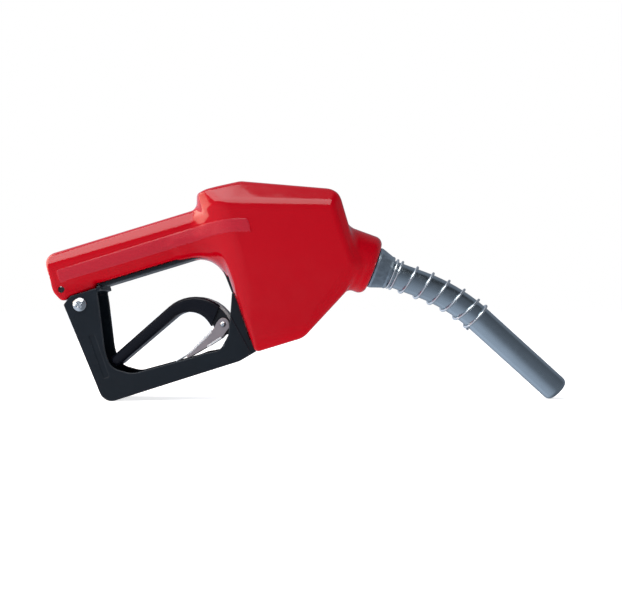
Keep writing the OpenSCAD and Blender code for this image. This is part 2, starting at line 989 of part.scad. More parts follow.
module hold_open_latch() {
    cheek = [
        [103.2, -70.4, 1], [98, -75.2, 1], [73, -88.6, 1], [74.5, -90.2, 1], [90.7, -86.4, 2],
        [105, -82, 2], [112, -76, 1]
    ];
    rolled_edge = [[97.6, -74.6, 0.5], [72.6, -88, 0.5], [73.4, -89.5, 0.5], [98.4, -76.1, 0.5]];
    tongue = [[74, -87.9, 0.3], [63.8, -89.6, 0.3], [63.8, -90.8, 0.3], [74, -89.4, 0.3]];
    color([0.62, 0.58, 0.57])
        in_hand()
            difference() {
                union() {
                    pair(rounded(cheek), 8.3, 9.6);
                    for (side = [-1, 1])
                        across(rivet)
                            translate([0, 0, side * 8.95 - 0.65])
                                cylinder(r = 4.8, h = 1.3);
                    slab(rounded(rolled_edge), -9.6, 9.6);
                    slab(rounded(tongue), -5, 5);
                }
                across(rivet)
                    translate([0, 0, -20])
                        cylinder(r = 2.05, h = 40);
            }
}

module latch_rivet() {
    color(bright_steel)
        in_hand()
            across(rivet)
                union() {
                    translate([0, 0, -11])
                        cylinder(r = 2, h = 22);
                    translate([0, 0, -11.2])
                        cylinder(r1 = 2.2, r2 = 3, h = 1.4);
                    translate([0, 0, 9.8])
                        cylinder(r1 = 3, r2 = 2.2, h = 1.4);
                }
}

module latch_spring() {
    color(bright_steel)
        in_hand()
            across(rivet)
                translate([0, 0, 9.65])
                    coil_spring(3.9, 0.3, 1.9, 1.5);
}

body_casting();
cover();
hand_guard();
guard_screw();
guard_nut();
guard_pin();
poppet_cap();
poppet_cap_seal();
main_poppet();
poppet_disc();
valve_stem();
poppet_spring();
stem_gland();
stem_seal();
trip_plunger();
plunger_spring();
latch_balls();
latch_pin();
diaphragm_plate();
diaphragm();
diaphragm_spring();
vacuum_cap();
vacuum_cap_screws();
check_seat();
check_poppet();
check_spring();
spout_bushing();
bushing_seal();
bushing_lock_screw();
spout_tube();
spout_spring();
vent_tube();
vent_tip();
lever();
lever_sleeve();
lever_pin();
hold_open_latch();
latch_rivet();
latch_spring();
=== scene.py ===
"""Automatic shut-off fuel nozzle: the visual model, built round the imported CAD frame.

Shapes are modelled in the handle's own frame, in millimetres: u runs forward along the handle
from the inlet face, y goes across the nozzle and v is square to the handle. The cover, the
guard, the lever's sleeve and the latch are distance fields on a grid, negative inside, so that
their edges and joins are rounded as moulded and pressed parts are. Turned and bent parts are
swept along the spout's centre line. to_row() puts points where the nozzle stands, in metres.
"""
import json
import math

import bmesh
import bpy
import numpy as np
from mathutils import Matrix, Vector


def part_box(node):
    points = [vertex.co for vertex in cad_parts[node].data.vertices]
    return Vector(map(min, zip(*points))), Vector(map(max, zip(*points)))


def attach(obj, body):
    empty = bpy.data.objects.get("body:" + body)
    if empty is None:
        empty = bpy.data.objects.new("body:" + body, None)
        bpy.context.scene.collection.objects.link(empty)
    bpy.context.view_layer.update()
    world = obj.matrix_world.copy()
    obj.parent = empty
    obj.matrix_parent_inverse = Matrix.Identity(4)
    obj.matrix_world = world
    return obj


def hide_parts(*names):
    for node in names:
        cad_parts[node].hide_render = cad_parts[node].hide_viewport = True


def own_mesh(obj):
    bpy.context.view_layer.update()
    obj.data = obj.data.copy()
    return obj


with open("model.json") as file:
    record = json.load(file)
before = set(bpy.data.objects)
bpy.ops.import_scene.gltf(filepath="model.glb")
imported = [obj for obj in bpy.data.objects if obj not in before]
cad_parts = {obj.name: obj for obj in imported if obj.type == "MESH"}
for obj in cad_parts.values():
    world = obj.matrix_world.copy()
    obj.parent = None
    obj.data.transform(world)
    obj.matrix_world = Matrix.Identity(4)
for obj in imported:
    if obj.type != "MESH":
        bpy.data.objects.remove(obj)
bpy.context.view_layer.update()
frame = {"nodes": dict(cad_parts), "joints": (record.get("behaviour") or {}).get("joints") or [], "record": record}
record = frame["record"]
nodes = frame["nodes"]

MM = 0.001

# ---- The handle's frame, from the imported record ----

mounts = {m["name"]: m for m in record["mounts"]}
joints = {j["name"]: j for j in frame["joints"]}
ORIGIN = np.array(mounts["inlet_thread"]["pos_m"]) / MM
AHEAD = -np.array(mounts["inlet_thread"]["axis"])
AXES = np.array([AHEAD, [0.0, 1.0, 0.0], [-AHEAD[2], 0.0, AHEAD[0]]])


def to_row(points):
    """Points [u, y, v] in millimetres as points of the row, in metres."""
    return (ORIGIN + np.asarray(points, float) @ AXES) * MM


def to_handle(point_m):
    """A point of the row, in metres, as u and v in millimetres."""
    u, _, v = AXES @ (np.array(point_m) / MM - ORIGIN)
    return float(u), float(v)


def slope_of(axis):
    """Angle, in radians, by which a direction of the row points below the handle."""
    u, _, v = AXES @ np.array(axis)
    return math.atan2(-v, u)


def centre_of(node):
    """Middle of a CAD part's box, as u and v in millimetres."""
    low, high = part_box(node)
    return to_handle((low + high) / 2)


RIVET = to_handle(joints["latch_swing"]["pos_m"])
SCREW = centre_of("guard_screw")
GUARD_PIN = centre_of("guard_pin")

# Driving sizes, millimetres; a half width is measured from the middle plane
COVER_HALF_W = 31.0
GRIP_HALF_W = 17.5
COVER_WALL = 2.5
GUARD_HALF_W = 15.0
GUARD_WALL = 2.5
LEVER_HALF_W = 8.0
SLEEVE_HALF_W = 11.0
ARCH, ARCH_R = (86.4, -74.8), 28.4  # middle and radius of the top of the lever's arch

# Spout: straight from the outlet face, then a bend, then straight again
SPOUT_R = mounts["spout_end"]["dims"]["r_mm"]
SPOUT_WALL = 1.5
SPOUT_TIP_R = 5.0
OUTLET = (231.6, -64.8)
OUTLET_SLOPE = slope_of(joints["check_open"]["axis"])
TIP_SLOPE = slope_of(mounts["spout_end"]["axis"])
LEAD_IN = 38.5
BEND_R = 140.0
BEND_LENGTH = BEND_R * (TIP_SLOPE - OUTLET_SLOPE)
SPOUT_END = 83.0
SPOUT_LENGTH = LEAD_IN + BEND_LENGTH + SPOUT_END
SPRING_WIRE_R = 1.0
SPRING_TURNS = 8
SPRING_START = 14.6  # length from the outlet face


# ---- Distance fields ----

ARC_STEP = 0.15  # radians between the points of an outline's rounded corner
FAR = 1e9

class Grid:
    """Sample points of a box [low, high] in u, y and v, one step apart."""

    def __init__(self, u, y, v, step):
        self.step = step
        self.low = np.array([u[0], y[0], v[0]], float)
        lines = [np.arange(a, b + step, step, dtype=np.float32) for a, b in (u, y, v)]
        self.u = lines[0][:, None, None]
        self.y = lines[1][None, :, None]
        self.v = lines[2][None, None, :]
        self.side = np.abs(self.y)


def meet(a, b, r=0.0):
    """What is inside both, with its edge rounded to radius r."""
    over = np.hypot(np.maximum(a + r, 0), np.maximum(b + r, 0))
    return np.minimum(np.maximum(a, b), -r) + over


def join(a, b, r=0.0):
    """What is inside either, with a fillet of radius r between them."""
    return -meet(-a, -b, r)


def cut(a, b, r=0.0):
    """What is inside a and outside b, with its edge rounded to radius r."""
    return meet(a, -b, r)


def rounded(corners):
    """Closed line through corners (u, v, radius), each turned into an arc."""
    line = []
    for i, (u, v, r) in enumerate(corners):
        here = np.array((u, v), float)
        back = np.array(corners[i - 1][:2]) - here
        on = np.array(corners[(i + 1) % len(corners)][:2]) - here
        back /= np.linalg.norm(back)
        on /= np.linalg.norm(on)
        half = math.acos(float(back @ on)) / 2
        middle = back + on
        centre = here + middle / np.linalg.norm(middle) * r / math.sin(half)
        start = here + back * r / math.tan(half) - centre
        swing = math.copysign(2 * half - math.pi, -(back[0] * on[1] - back[1] * on[0]))
        steps = max(1, math.ceil(abs(swing) / ARC_STEP))
        for k in range(steps + 1):
            c, s = math.cos(swing * k / steps), math.sin(swing * k / steps)
            line.append(centre + (start[0] * c - start[1] * s, start[0] * s + start[1] * c))
    return np.array(line)


def outline(g, corners):
    """Distance to a rounded side outline, the same at every y."""
    line = rounded(corners)
    u, v = g.u[:, 0, :], g.v[0]
    nearest = np.full((u.size, v.size), FAR, np.float32)
    inside = np.zeros(nearest.shape, bool)
    for a, b in zip(line, np.roll(line, -1, axis=0)):
        du, dv = b - a
        length = du * du + dv * dv
        if length < 1e-12:
            continue
        t = np.clip(((u - a[0]) * du + (v - a[1]) * dv) / length, 0, 1)
        nearest = np.minimum(nearest, (u - a[0] - t * du) ** 2 + (v - a[1] - t * dv) ** 2)
        if dv:
            inside ^= ((a[1] <= v) != (b[1] <= v)) & (u < a[0] + (v - a[1]) * du / dv)
    return (np.sqrt(nearest) * np.where(inside, -1, 1))[:, None, :]


def plane(g, point, normal):
    """Distance past a plane on each side of the nozzle, its normal given as [u, side, v]."""
    n = np.array(normal, np.float32) / np.linalg.norm(normal)
    return (g.u - point[0]) * n[0] + (g.side - point[1]) * n[1] + (g.v - point[2]) * n[2]


def across(g, at, r):
    """Distance to a round bar along y through the point at, given as u and v."""
    return np.hypot(g.u - at[0], g.v - at[1]) - r


def between(x, low, high):
    """Distance outside the range from low to high."""
    return np.abs(x - (low + high) / 2) - (high - low) / 2


def surface(d):
    """Points, in cells, and quads of the surface where the field d changes sign."""
    inside = d < 0
    count = np.zeros([n - 1 for n in d.shape], np.int8)
    for corner in np.ndindex(2, 2, 2):
        count += inside[tuple(slice(c, c + n) for c, n in zip(corner, count.shape))]
    crossed = (count > 0) & (count < 8)
    cells = np.argwhere(crossed)
    index = np.full(crossed.shape, -1, np.int32)
    index[crossed] = np.arange(len(cells))
    total, hits = np.zeros(cells.shape), np.zeros(len(cells))
    quads = []
    for axis in range(3):
        j, k = (axis + 1) % 3, (axis + 2) % 3
        for a, b in np.ndindex(2, 2):
            start = cells.copy()
            start[:, j] += a
            start[:, k] += b
            end = start.copy()
            end[:, axis] += 1
            d0, d1 = d[tuple(start.T)], d[tuple(end.T)]
            hit = (d0 < 0) != (d1 < 0)
            point = start[hit].astype(float)
            point[:, axis] += d0[hit] / (d0[hit] - d1[hit])
            total[hit] += point
            hits[hit] += 1
        before = inside[tuple(slice(0, -1) if n == axis else slice(1, -1) for n in range(3))]
        after = inside[tuple(slice(1, None) if n == axis else slice(1, -1) for n in range(3))]
        edges = np.argwhere(before != after)
        leaving = before[tuple(edges.T)]
        loop = []
        for a, b in ((0, 0), (1, 0), (1, 1), (0, 1)):
            cell = edges.copy()
            cell[:, j] += a
            cell[:, k] += b
            loop.append(index[tuple(cell.T)])
        loop = np.stack(loop, 1)
        loop[~leaving] = loop[~leaving, ::-1]
        quads.append(loop)
    return total / hits[:, None], np.concatenate(quads)


def sampled(d, points):
    """The field's value at points given in cells."""
    base = np.clip(points.astype(int), 0, np.array(d.shape) - 2)
    part = points - base
    value = np.zeros(len(points))
    for corner in np.ndindex(2, 2, 2):
        weight = np.where(corner, part, 1 - part).prod(axis=1)
        value += weight * d[tuple((base + corner).T)]
    return value


def gradient(d, points):
    """The field's slope at points given in cells."""
    reach = 0.6
    steps = np.eye(3) * reach
    rises = [sampled(d, points + s) - sampled(d, points - s) for s in steps]
    return np.stack(rises, 1) / (2 * reach)


# ---- Meshes ----

def new_mesh(name, points, faces):
    mesh = bpy.data.meshes.new(name)
    mesh.from_pydata(np.asarray(points, float).tolist(), [], np.asarray(faces).tolist())
    mesh.update()
    return mesh


def add(name, mesh, body, stands_for, slot, finish=None):
    """The mesh as a piece that rides on a body, stands for CAD nodes and wears its finish."""
    piece = bpy.data.objects.new(name, mesh)
    bpy.context.scene.collection.objects.link(piece)
    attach(piece, body)
    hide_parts(*stands_for)
    mesh.materials.clear()
    mesh.materials.append(FINISHES[finish or slot])
    return piece


def thinned(mesh, share):
    """The mesh with about that share of its triangles, flat parts thinned most."""
    carrier = bpy.data.objects.new("thinning", mesh)
    bpy.context.scene.collection.objects.link(carrier)
    decimate = carrier.modifiers.new("thin", "DECIMATE")
    decimate.ratio = share
    graph = bpy.context.evaluated_depsgraph_get()
    thin = bpy.data.meshes.new_from_object(carrier.evaluated_get(graph))
    bpy.data.objects.remove(carrier)
    return thin


def carved(name, g, d, share=1.0):
    """Smooth mesh of a distance field, in the row's frame."""
    farthest = 0.4  # cells that a point may be drawn along each axis at a time
    cells, quads = surface(d)
    for _ in range(2):
        way = gradient(d, cells)
        step = way * (sampled(d, cells) / np.maximum((way ** 2).sum(1), 1e-4))[:, None]
        cells -= np.clip(step, -farthest, farthest)
    mesh = new_mesh(name, cells, quads)
    if share < 1:
        mesh = thinned(mesh, share)
    cells = np.empty(len(mesh.vertices) * 3)
    mesh.vertices.foreach_get("co", cells)
    cells = cells.reshape(-1, 3)
    normals = gradient(d, cells)
    normals /= np.maximum(np.linalg.norm(normals, axis=1), 1e-9)[:, None]
    mesh.vertices.foreach_set("co", to_row(g.low + cells * g.step).astype(np.float32).ravel())
    mesh.shade_smooth()
    mesh.normals_split_custom_set_from_vertices((normals @ AXES).tolist())
    mesh.update()
    return mesh


def ahead_at(slope):
    """Direction, in the handle's frame, that points below the handle by an angle."""
    return np.array([math.cos(slope), 0.0, -math.sin(slope)])


def down_at(slope):
    """Direction square to ahead_at(slope), on the underside."""
    return np.array([-math.sin(slope), 0.0, -math.cos(slope)])


def spout_frame(s):
    """Centre, direction, downward normal of the spout at length s past the outlet face."""
    turn = min(max(s - LEAD_IN, 0.0), BEND_LENGTH) / BEND_R
    slope = OUTLET_SLOPE + turn
    centre = np.array([OUTLET[0], 0.0, OUTLET[1]]) + ahead_at(OUTLET_SLOPE) * min(s, LEAD_IN)
    centre = centre + BEND_R * (down_at(OUTLET_SLOPE) - down_at(slope))
    centre = centre + ahead_at(slope) * max(s - LEAD_IN - BEND_LENGTH, 0.0)
    return centre, ahead_at(slope), down_at(slope)


def skin(name, rings, closed):
    """Smooth mesh over equal rings of points, joined end to start if closed, else capped."""
    count, around = len(rings), len(rings[0])
    faces = []
    for i in range(count if closed else count - 1):
        for k in range(around):
            a, b = i * around, (i + 1) % count * around
            on = (k + 1) % around
            faces.append((a + k, a + on, b + on, b + k))
    bm = bmesh.new()
    verts = [bm.verts.new(p) for p in to_row(np.concatenate(rings))]
    for face in faces:
        bm.faces.new([verts[i] for i in face])
    if not closed:
        bm.faces.new(verts[:around])
        bm.faces.new(verts[-around:])
    bmesh.ops.recalc_face_normals(bm, faces=bm.faces)
    mesh = bpy.data.meshes.new(name)
    bm.to_mesh(mesh)
    bm.free()
    mesh.shade_smooth()
    return mesh


def turned(name, profile, around=96):
    """A closed profile of points (s, r) turned about the spout's centre line."""
    angles = np.linspace(0, 2 * math.pi, around, endpoint=False)
    rings = []
    for s, r in profile:
        centre, _, down = spout_frame(s)
        rings.append(centre + r * (np.cos(angles)[:, None] * down
                                   + np.sin(angles)[:, None] * np.array([0.0, 1.0, 0.0])))
    return skin(name, rings, closed=True)


# ---- Materials ----

NOISE_ROUGHNESS = 0.55

class Nodes:
    """A material's node tree, with short calls for the nodes that are used here."""

    def __init__(self, name):
        self.material = bpy.data.materials.new(name)
        self.material.use_nodes = True
        self.tree = self.material.node_tree
        self.shader = self.tree.nodes["Principled BSDF"]
        self.place = self.tree.nodes.new("ShaderNodeTexCoord").outputs["Object"]

    def link(self, source, target):
        self.tree.links.new(source, target)

    def noise(self, scale, detail=3.0):
        node = self.tree.nodes.new("ShaderNodeTexNoise")
        node.inputs["Scale"].default_value = scale
        node.inputs["Detail"].default_value = detail
        node.inputs["Roughness"].default_value = NOISE_ROUGHNESS
        self.link(self.place, node.inputs["Vector"])
        return node.outputs["Fac"]

    def between(self, source, low, high, start=0.3, end=0.7):
        """The source's values from start to end spread over low to high."""
        node = self.tree.nodes.new("ShaderNodeMapRange")
        node.inputs["From Min"].default_value = start
        node.inputs["From Max"].default_value = end
        node.inputs["To Min"].default_value = low
        node.inputs["To Max"].default_value = high
        self.link(source, node.inputs["Value"])
        return node.outputs["Result"]

    def mix(self, factor, a, b):
        """Colour a where the factor is 0 and b where it is 1; each is a colour or a socket."""
        node = self.tree.nodes.new("ShaderNodeMix")
        node.data_type = "RGBA"
        self.link(factor, node.inputs["Factor"])
        for socket, value in ((node.inputs[6], a), (node.inputs[7], b)):
            if isinstance(value, tuple):
                socket.default_value = (*value, 1.0)
            else:
                self.link(value, socket)
        return node.outputs[2]

    def bump(self, height, depth_mm, under=None):
        node = self.tree.nodes.new("ShaderNodeBump")
        node.inputs["Strength"].default_value = 1.0
        node.inputs["Distance"].default_value = depth_mm * MM
        self.link(height, node.inputs["Height"])
        if under:
            self.link(under, node.inputs["Normal"])
        return node.outputs["Normal"]

    def edges(self, start, end):
        """1 on convex edges, 0 elsewhere."""
        node = self.tree.nodes.new("ShaderNodeNewGeometry")
        return self.between(node.outputs["Pointiness"], 0.0, 1.0, start, end)


def shade(colour, factor):
    return tuple(min(c * factor, 1.0) for c in colour)


def material(name, colour, rough, metal=0.0, spread=0.1, patch=40.0, grain=2500.0,
             relief=0.01, specular=0.5, scuffs=0.06):
    """Colour in soft patches, roughness in finer ones, and a fine relief in millimetres."""
    n = Nodes(name)
    patches = n.noise(patch, 4.0)
    n.link(n.mix(patches, shade(colour, 1 - spread), shade(colour, 1 + spread)),
           n.shader.inputs["Base Color"])
    n.link(n.between(n.noise(patch * 4, 6.0), rough - scuffs / 2, rough + scuffs),
           n.shader.inputs["Roughness"])
    n.link(n.bump(n.noise(grain, 2.0), relief), n.shader.inputs["Normal"])
    n.shader.inputs["Metallic"].default_value = metal
    n.shader.inputs["Specular IOR Level"].default_value = specular
    return n


def red_vinyl():
    """Dipped glossy vinyl: a faint orange peel under the gloss, and dull scuffs."""
    n = material("red_vinyl", (0.385, 0.0002, 0.006), 0.1, spread=0.05, patch=18.0, relief=0.0,
                 specular=0.27, scuffs=0.05)
    peel = n.bump(n.noise(220.0, 2.0), 0.02, n.bump(n.noise(65.0, 1.0), 0.16))
    n.link(n.bump(n.noise(1400.0, 2.0), 0.003, peel), n.shader.inputs["Normal"])
    return n.material


def grained_vinyl():
    """The same vinyl with the mould's matte grain."""
    n = material("red_vinyl_grain", (0.40, 0.003, 0.018), 0.5, spread=0.14, patch=900.0,
                 relief=0.0, specular=0.28)
    cells = n.tree.nodes.new("ShaderNodeTexVoronoi")
    cells.inputs["Scale"].default_value = 1500.0
    n.link(n.place, cells.inputs["Vector"])
    n.link(n.bump(cells.outputs["Distance"], 0.22), n.shader.inputs["Normal"])
    return n.material


def guard_plastic():
    """Black moulding, painted lighter grey along its convex edges as a highlight."""
    n = material("guard_black", (0.005, 0.009, 0.014), 0.38, spread=0.3, patch=60.0,
                 grain=1800.0, relief=0.03, scuffs=0.12, specular=0.25)
    # Convex edges are painted lighter grey: a painted highlight
    painted_highlight = n.edges(0.515, 0.56)
    base = n.shader.inputs["Base Color"].links[0].from_socket
    n.link(n.mix(painted_highlight, base, (0.05, 0.058, 0.066)), n.shader.inputs["Base Color"])
    return n.material


def turned_metal(name, colour, rough, spread=0.15, patch=120.0, relief=0.006):
    """Bare metal with soft stains and a fine mottle."""
    n = material(name, colour, rough, metal=1.0, spread=spread, patch=patch, grain=1600.0,
                 relief=relief, scuffs=0.1)
    return n.material


def painted_lever():
    """Satin black paint, painted lighter grey along the top of the arch as a highlight of the overhead light."""
    band, fade = 2.0, 0.4
    n = material("lever_steel", (0.006, 0.008, 0.011), 0.36, spread=0.25, relief=0.01,
                 specular=0.35)
    lever = nodes["lever"]
    arch = Vector(to_row(np.array([[ARCH[0], 0.0, ARCH[1]]]))[0].tolist())
    arch = lever.matrix_world.inverted() @ arch
    flat = n.tree.nodes.new("ShaderNodeVectorMath")
    flat.operation = "MULTIPLY"
    flat.inputs[1].default_value = (1.0, 0.0, 1.0)
    n.link(n.place, flat.inputs[0])
    off = n.tree.nodes.new("ShaderNodeVectorMath")
    off.operation = "DISTANCE"
    off.inputs[1].default_value = (arch.x, 0.0, arch.z)
    n.link(flat.outputs["Vector"], off.inputs[0])
    # Lighter grey on the arch's top face: a painted highlight of the overhead light
    painted_highlight = n.between(off.outputs["Value"], 0.0, 1.0, (ARCH_R - band) * MM,
                     (ARCH_R - band + fade) * MM)
    paint = n.shader.inputs["Base Color"].links[0].from_socket
    n.link(n.mix(painted_highlight, paint, (0.24, 0.23, 0.23)), n.shader.inputs["Base Color"])
    return n.material


FINISHES = {
    "cast_aluminium": turned_metal("cast_aluminium", (0.42, 0.43, 0.45), 0.42, relief=0.05),
    "red_vinyl": red_vinyl(),
    "guard_black": guard_plastic(),
    "zinc_steel": turned_metal("zinc_steel", (0.72, 0.76, 0.78), 0.2),
    "brass": turned_metal("brass", (0.60, 0.42, 0.16), 0.28),
    "seal_rubber": material("seal_rubber", (0.012, 0.012, 0.012), 0.6).material,
    "stainless": turned_metal("stainless", (0.55, 0.56, 0.57), 0.25),
    "spring_steel": turned_metal("spring_steel", (0.40, 0.41, 0.43), 0.3),
    "collar_metal": turned_metal("collar_metal", (0.42, 0.50, 0.56), 0.4, 0.45, 260.0, 0.03),
    "spout_aluminium": turned_metal("spout_aluminium", (0.42, 0.50, 0.55), 0.2, 0.1, 90.0),
    "bright_wire": turned_metal("bright_wire", (0.74, 0.78, 0.80), 0.28, relief=0.0),
    "lever_steel": painted_lever(),
    "sleeve_rubber": material("sleeve_rubber", (0.003, 0.004, 0.008), 0.34, spread=0.2,
                              relief=0.02, specular=0.2).material,
    # A whiter, half-metal copy of the latch steel for the rolled edges: a painted highlight
    "latch_edge_highlight": material("latch_edge_highlight", (0.82, 0.84, 0.86), 0.25, metal=0.45,
                           spread=0.08, relief=0.004).material,
    "latch_steel": turned_metal("latch_steel", (0.62, 0.53, 0.52), 0.42, relief=0.01),
}
GRAIN = grained_vinyl()

for part in record["subparts"]:
    for holder in nodes[part["node"]].material_slots:
        holder.material = FINISHES[part["material_slot"]]


# ---- Cover ----

# Side outlines: corners (u, v, radius)
HUMP = [(110.4, -2, 1), (94, -14.8, 1), (121.4, -14.8, 24), (123, -60, 5), (125.4, -100.6, 4),
        (163.5, -100.6, 14), (204, -77, 8), (220.6, -61.3, 6), (221.4, -1.2, 13),
        (152.5, 27.2, 12), (117.2, 28.8, 4), (110.4, 12, 1)]
# Flats of the hump: a point [u, side, v], the way the flat faces, and its edge radius
HUMP_FLATS = [
    ((140, 20, 28.9), (0, 1, 0.8), 3),
    ((185, 19.2, 14.1), (0.217, 1, 0.689), 3),
    ((115.4, 17, 10), (-1, 0.9, 0), 9),
    ((223.2, 20, -20), (1, 0.9, 0), 2),
    ((150, COVER_HALF_W, -46), (0, 58, -8), 3),
    ((163, 19, -100.6), (0, 1, -0.74), 2),
    ((204, 20, -77), (0.5, 1, -0.8), 2),
]
GRIP = [(-8.2, 17.8, 7), (-8.4, -12, 9), (-3.4, -22.2, 4), (2.6, -18.5, 1), (22, -18.5, 1),
        (24, -15, 1), (125, -15, 0.5), (125, 17.8, 0.5)]
THROAT = [(92, -14.8, 0.5), (121.4, -14.8, 24), (122.9, -62, 0.5), (140, -62, 0.5),
          (140, -4, 0.5), (92, -4, 0.5)]
REAR_OPENING = [(110, -39, 0.5), (110, -110, 0.5), (126.4, -110, 0.5), (126.4, -98, 0.5),
                (129.5, -98, 0.5), (129.5, -39, 0.5)]
THROAT_HALF_W = 15.5
NECK_R, NECK_LENGTH = 23, 32
OUTLET_HOLE_R, OUTLET_HOLE_DEPTH = 17.8, 20
INLET_HOLE_R, INLET_HOLE_DEPTH = 15.6, 30
TAG_HOLE, TAG_HOLE_R, TAG_HOLE_DEPTH = (-1.2, -12.1), 2.3, 1.5
# Round about the corner under the hump's rear the skin is dressed smooth, less so further out
SMOOTH_AT, SMOOTH_REACH, SMOOTH_FADE = (115, -17), 17, 8
# Grained band along the side
BAND_START, BAND_END = 0.0, 150.0
BAND_HALF_H = 5.0
BAND_RISE = 0.55


def band_middle(u):
    """Height of the middle of the grained band: straight on the grip, bent on the hump."""
    return -2.2 - 0.0042 * np.maximum(u - 110, 0) ** 2


def band_field(u, v):
    """Distance to the band's outline in the side view."""
    edge = np.abs(v - band_middle(u)) - BAND_HALF_H
    return meet(edge, between(u, BAND_START, BAND_END), 1.0)


def outlet_field(g):
    """Length along the outlet's axis and distance from it."""
    c, s = math.cos(OUTLET_SLOPE), math.sin(OUTLET_SLOPE)
    along = (g.u - OUTLET[0]) * c - (g.v - OUTLET[1]) * s
    return along, np.hypot((g.u - OUTLET[0]) * s + (g.v - OUTLET[1]) * c, g.y)


def cover_skin(g):
    """Outside of the cover."""
    grip = meet(outline(g, GRIP), g.side - GRIP_HALF_W, 3)
    grip = meet(grip, plane(g, (-8.2, GRIP_HALF_W - 1, 0), (-1, 1, 0)), 3)
    grip = meet(grip, plane(g, (0, GRIP_HALF_W, 5.5), (0, 12.3, 8.5)), 3)
    underside = join(plane(g, (0, GRIP_HALF_W, -8.5), (0, 6.5, -5.5)),
                     g.side - np.interp(g.u, [1, 16], [16.2, 12]), 2)
    grip = meet(grip, underside, 3)
    throat = meet(outline(g, THROAT), g.side - THROAT_HALF_W, 3)
    throat = meet(throat, plane(g, (95, GRIP_HALF_W, -8.5), (-0.5, 1, -1)), 5)
    hump = meet(outline(g, HUMP), g.side - COVER_HALF_W, 2)
    for point, normal, r in HUMP_FLATS:
        hump = meet(hump, plane(g, point, normal), r)
    along, off = outlet_field(g)
    neck = meet(meet(off - NECK_R, along, 6.5), -along - NECK_LENGTH, 1)
    # The handle runs into the hump in a wide sweep at its sides and a tight one on top
    sweep = np.interp(g.v, [4, 14], [13, 5])
    d = join(join(join(grip, throat, 9), hump, sweep), neck, 5)
    apart = np.hypot(g.u - SMOOTH_AT[0], g.v - SMOOTH_AT[1]) + 0 * g.side
    share = np.clip((SMOOTH_REACH - apart) / SMOOTH_FADE, 0, 1)
    soft = d
    for axis in range(3):
        for reach in (1, 2, 4):
            soft = (soft + np.roll(soft, reach, axis) + np.roll(soft, -reach, axis)) / 3
    return d + share * (soft - d)


def cover_field(g, outside):
    """The cover's wall with its raised band and its openings."""
    raised = meet(outside - BAND_RISE, band_field(g.u, g.v) + 0 * g.side, 0.5)
    raised = np.maximum(raised, 12 - g.side)
    inside = outside + COVER_WALL
    d = cut(join(outside, raised, 0.3), inside, 0.5)
    along, off = outlet_field(g)
    d = cut(d, np.maximum(off - OUTLET_HOLE_R, -along - OUTLET_HOLE_DEPTH), 1)
    d = cut(d, np.maximum(np.hypot(g.y, g.v) - INLET_HOLE_R, g.u - INLET_HOLE_DEPTH), 0.8)
    # Room for the body's lug, then the opening that the lever and the guard go into
    lug = np.maximum(np.maximum(between(g.u, 0.5, 17), g.side - 9.4), between(g.v, -30, -5))
    d = cut(d, lug, 0.5)
    d = cut(d, np.maximum(outline(g, REAR_OPENING), g.side - 15.4), 0.8)
    return cut(d, np.maximum(across(g, TAG_HOLE, TAG_HOLE_R), -outside - TAG_HOLE_DEPTH), 0.4)


def make_cover():
    g = Grid((-9, 246), (-33, 33), (-103, 31), 0.7)
    outside = cover_skin(g)
    mesh = carved("cover_skin", g, cover_field(g, outside), 0.35)
    add("cover_skin", mesh, "root", ["cover"], "red_vinyl")
    mesh.materials.append(GRAIN)
    # Third slot, black: painted shade for the inside of the tag hole
    mesh.materials.append(FINISHES["seal_rubber"])
    centres = np.empty(len(mesh.polygons) * 3)
    mesh.polygons.foreach_get("center", centres)
    place = (centres.reshape(-1, 3) / MM - ORIGIN) @ AXES.T
    height = sampled(outside, (place - g.low) / g.step)
    raised = height > BAND_RISE / 2
    # The floor and wall of the tag hole wear the black rubber finish: painted shade inside the hole
    hole_shade_mask = np.hypot(place[:, 0] - TAG_HOLE[0], place[:, 2] - TAG_HOLE[1]) < 2.45
    hole_shade_mask &= height < -0.35
    mesh.polygons.foreach_set("material_index", np.where(hole_shade_mask, 2, raised).astype(np.int32))
    mesh.update()


# ---- Hand guard ----

GUARD = [(-3.4, -23.4, 1), (3.6, -98, 9), (8, -104.6, 9), (112, -103.6, 8), (126.2, -100.2, 0.5),
         (126.2, -97.8, 0.5), (134, -97.8, 1), (134, -90.5, 1), (123.8, -90.5, 1), (123, -48, 1),
         (116, -66, 10), (109.5, -82, 6), (100, -91.4, 9), (87, -89.9, 6), (80, -90.4, 6),
         (31, -88.8, 14), (17.4, -80, 12), (15.8, -68, 40), (22.5, -30, 30), (24, -18.8, 1),
         (3.2, -18.8, 1)]
GUARD_HOLLOW = [(-0.6, -19.8, 1), (6.4, -97.5, 6.5), (10, -102.1, 6.5), (112, -101.1, 6),
                (126, -97.6, 1), (126, -40, 1), (40, -10, 1), (-1, -10, 1)]
TOP_ARM = [(25, -18.5, 0.3), (118.2, -18.5, 20.6), (120.9, -52, 0.2), (122.6, -52, 0.2),
           (121, -15.3, 23.6), (25, -15.3, 0.3)]
GUSSET = [(17.5, -18.9, 0.3), (19.5, -21.3, 0.3), (27, -21.3, 0.3), (27, -17.5, 0.3),
          (24.8, -17.5, 0.3), (24.2, -18.9, 0.3)]
PANEL = [(8, -52, 1), (9.5, -86, 1), (14, -86, 1), (12.5, -52, 1)]
ARM_HALF_W = 9
PANEL_DEPTH = 0.5
FRONT_STEP = 0.6
SCREW_HOLE_R, PIN_HOLE_R = 3.1, 1.55


